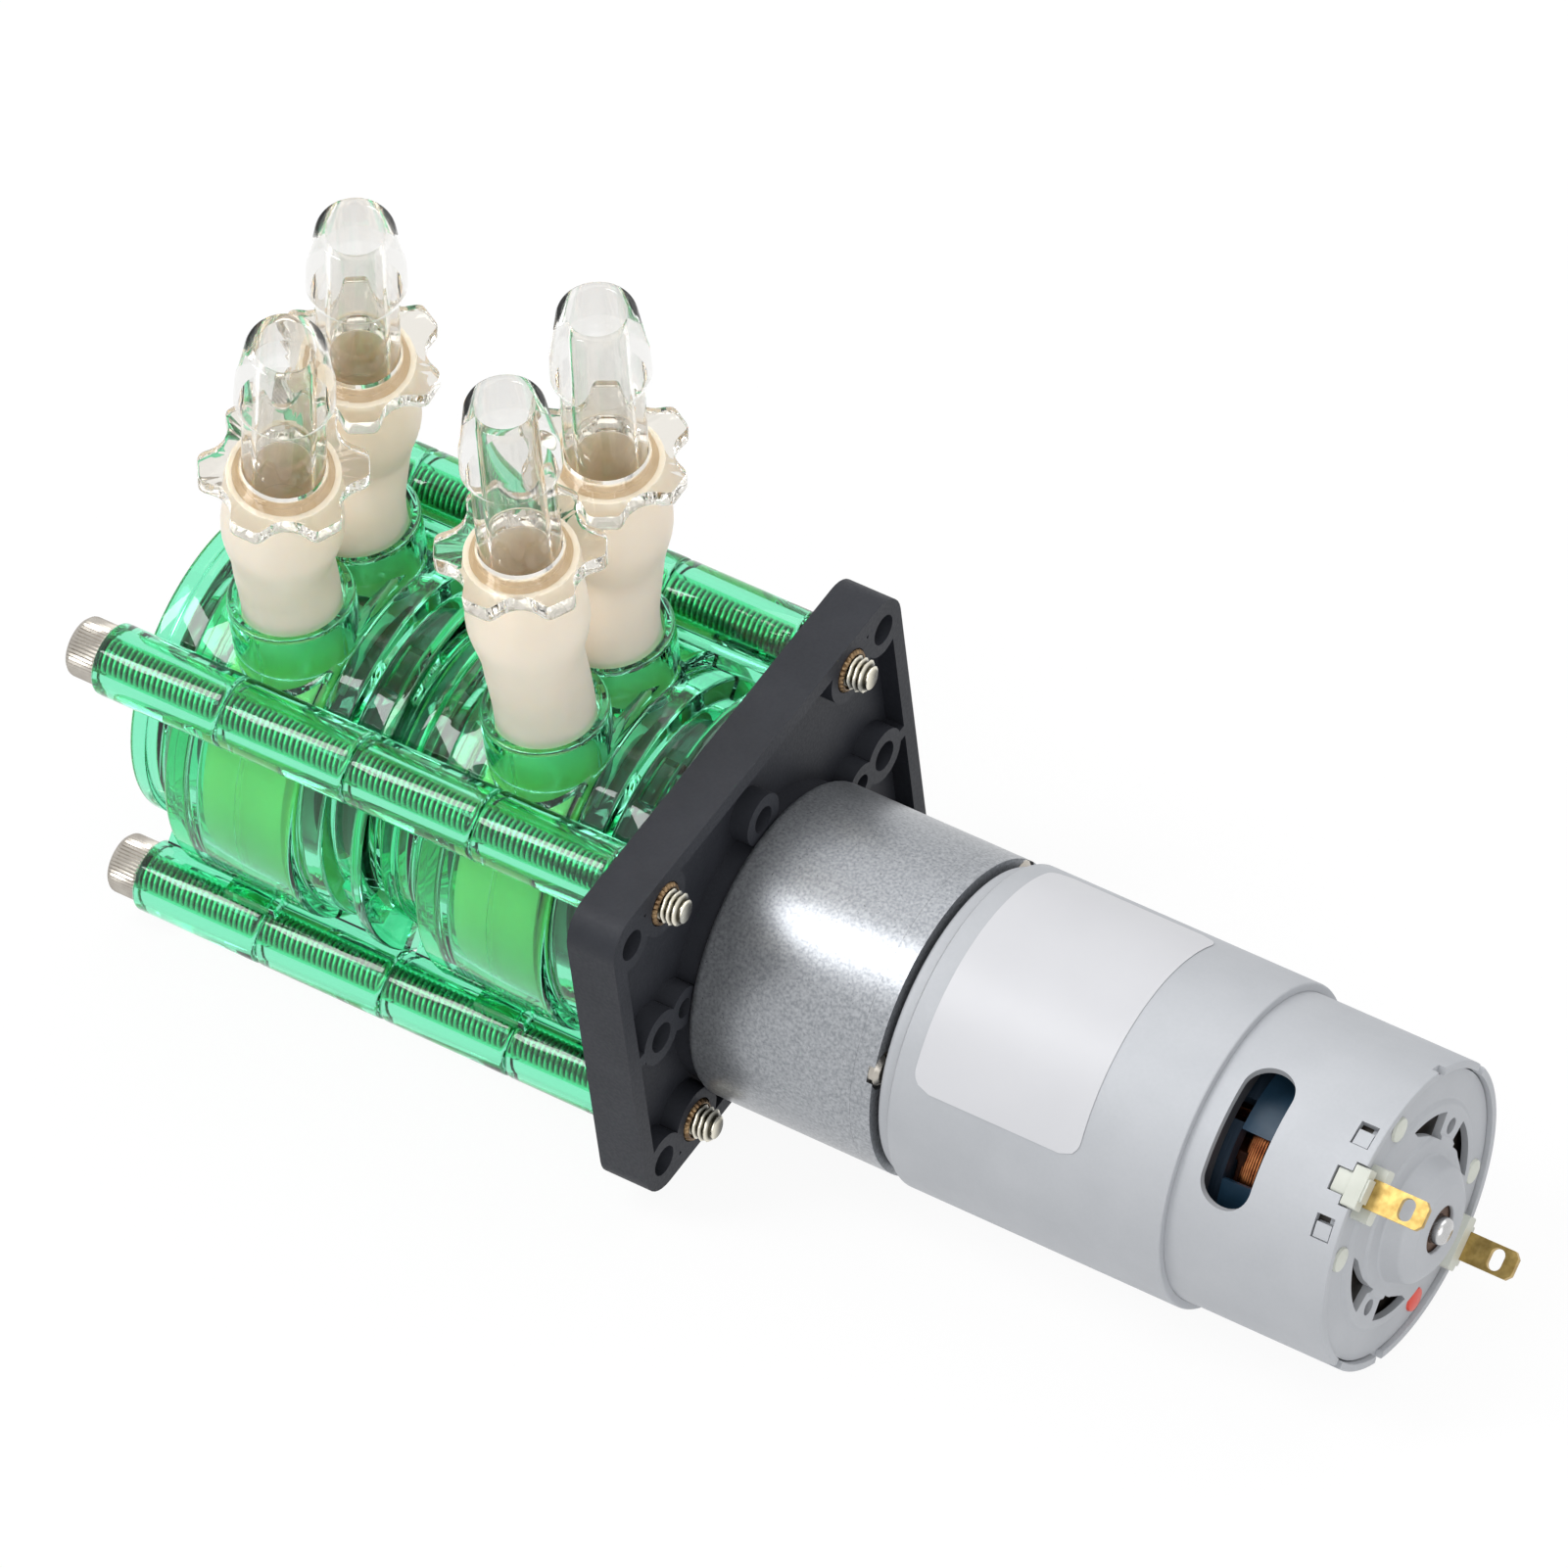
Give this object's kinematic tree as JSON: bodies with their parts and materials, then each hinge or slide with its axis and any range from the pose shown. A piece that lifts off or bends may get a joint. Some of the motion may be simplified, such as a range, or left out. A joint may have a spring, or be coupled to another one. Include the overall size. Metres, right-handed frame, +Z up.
{
  "type": "double-head peristaltic pump",
  "caption": "Peristaltic pump with stacked clear green heads, cream tube with hose barbs, charcoal mounting plate and a brushed gearmotor.",
  "frame": {"origin": "centre of the corner bolt pattern on the motor side of the mounting plate, on the pump shaft axis", "axes": "+X along the pump shaft towards the motor's terminals, +Z up towards the hose connectors"},
  "size_m": [0.1636, 0.057, 0.1043],
  "materials": {
    "pump_green": "clear emerald green, polished",
    "connector_clear": "clear, polished",
    "pump_tube": "cream, dull",
    "plate_charcoal": "moulded, fine specks",
    "gearbox_zinc": "grained grey plating",
    "plated_steel": "satin plating",
    "screw_steel": "bright",
    "shaft_steel": "ground",
    "brass": "bright",
    "bronze": "sintered, oiled",
    "gear_steel": "machined",
    "rotor_black": "moulded",
    "roller_white": "smooth",
    "magnet_black": "sintered",
    "core_steel": "stacked sheets",
    "copper": "enamelled wire",
    "carbon": "pressed",
    "nylon_white": "moulded",
    "holder_brown": "moulded"
  },
  "bodies": {
    "frame": {"mounting_plate": "plate_charcoal", "plate_inserts": "brass", "head_screws": "screw_steel", "gearbox_housing": "gearbox_zinc", "gearbox_cover": "gearbox_zinc", "gearbox_screws": "screw_steel", "cover_screws": "screw_steel", "output_bushes": "bronze", "gear_pins": "shaft_steel", "motor_can": "plated_steel", "flux_ring": "plated_steel", "motor_end_plate": "plated_steel", "motor_bushes": "bronze", "magnets": "magnet_black", "brush_holders": "holder_brown", "brushes": "carbon", "terminals": "brass", "terminal_insulators": "nylon_white", "end_plate_rivets": "nylon_white", "head_1_front_shell": "pump_green", "head_1_rear_shell": "pump_green", "head_1_bushes": "bronze", "tube_1": "pump_tube", "connector_1_left": "connector_clear", "connector_1_right": "connector_clear", "head_2_front_shell": "pump_green", "head_2_rear_shell": "pump_green", "head_2_bushes": "bronze", "tube_2": "pump_tube", "connector_2_left": "connector_clear", "connector_2_right": "connector_clear"},
    "rotor": {"output_shaft": "shaft_steel", "output_gear": "gear_steel", "link_shaft": "shaft_steel", "end_shaft": "shaft_steel", "rotor_1_front_disc": "rotor_black", "rotor_1_rear_disc": "rotor_black", "rotor_1_pins": "shaft_steel", "rotor_2_front_disc": "rotor_black", "rotor_2_rear_disc": "rotor_black", "rotor_2_pins": "shaft_steel"},
    "roller_1a": {"roller_1a": "roller_white"},
    "roller_1b": {"roller_1b": "roller_white"},
    "roller_1c": {"roller_1c": "roller_white"},
    "roller_2a": {"roller_2a": "roller_white"},
    "roller_2b": {"roller_2b": "roller_white"},
    "roller_2c": {"roller_2c": "roller_white"},
    "second_idler": {"second_idler": "gear_steel"},
    "first_idler": {"first_idler": "gear_steel"},
    "armature": {"motor_shaft": "shaft_steel", "motor_pinion": "brass", "armature_core": "core_steel", "armature_windings": "copper", "commutator": "copper"}
  },
  "joints": [
    {"name": "rotor_spin", "type": "hinge", "parent": "frame", "child": "rotor", "pos_m": [0, 0, 0], "axis": [1, 0, 0], "continuous": true},
    {"name": "roller_1a_spin", "type": "hinge", "parent": "rotor", "child": "roller_1a", "pos_m": [-0.0225, 0, 0.01035], "axis": [1, 0, 0], "continuous": true},
    {"name": "roller_1b_spin", "type": "hinge", "parent": "rotor", "child": "roller_1b", "pos_m": [-0.0225, -0.00896, -0.00517], "axis": [1, 0, 0], "continuous": true},
    {"name": "roller_1c_spin", "type": "hinge", "parent": "rotor", "child": "roller_1c", "pos_m": [-0.0225, 0.00896, -0.00517], "axis": [1, 0, 0], "continuous": true},
    {"name": "roller_2a_spin", "type": "hinge", "parent": "rotor", "child": "roller_2a", "pos_m": [-0.0555, 0, 0.01035], "axis": [1, 0, 0], "continuous": true},
    {"name": "roller_2b_spin", "type": "hinge", "parent": "rotor", "child": "roller_2b", "pos_m": [-0.0555, -0.00896, -0.00517], "axis": [1, 0, 0], "continuous": true},
    {"name": "roller_2c_spin", "type": "hinge", "parent": "rotor", "child": "roller_2c", "pos_m": [-0.0555, 0.00896, -0.00517], "axis": [1, 0, 0], "continuous": true},
    {"name": "second_idler_spin", "type": "hinge", "parent": "frame", "child": "second_idler", "pos_m": [0, 0.00794, -0.009], "axis": [1, 0, 0], "continuous": true},
    {"name": "first_idler_spin", "type": "hinge", "parent": "frame", "child": "first_idler", "pos_m": [0, 0.00206, -0.01555], "axis": [1, 0, 0], "continuous": true},
    {"name": "armature_spin", "type": "hinge", "parent": "frame", "child": "armature", "pos_m": [0, 0, -0.007], "axis": [1, 0, 0], "continuous": true}
  ],
  "couplings": [
    {"joint": "roller_1a_spin", "follows": "rotor_spin", "ratio": -3.1789},
    {"joint": "roller_1b_spin", "follows": "rotor_spin", "ratio": -3.1789},
    {"joint": "roller_1c_spin", "follows": "rotor_spin", "ratio": -3.1789},
    {"joint": "roller_2a_spin", "follows": "rotor_spin", "ratio": -3.1789},
    {"joint": "roller_2b_spin", "follows": "rotor_spin", "ratio": -3.1789},
    {"joint": "roller_2c_spin", "follows": "rotor_spin", "ratio": -3.1789},
    {"joint": "second_idler_spin", "follows": "rotor_spin", "ratio": -3},
    {"joint": "first_idler_spin", "follows": "rotor_spin", "ratio": 8},
    {"joint": "armature_spin", "follows": "rotor_spin", "ratio": -21.333}
  ]
}
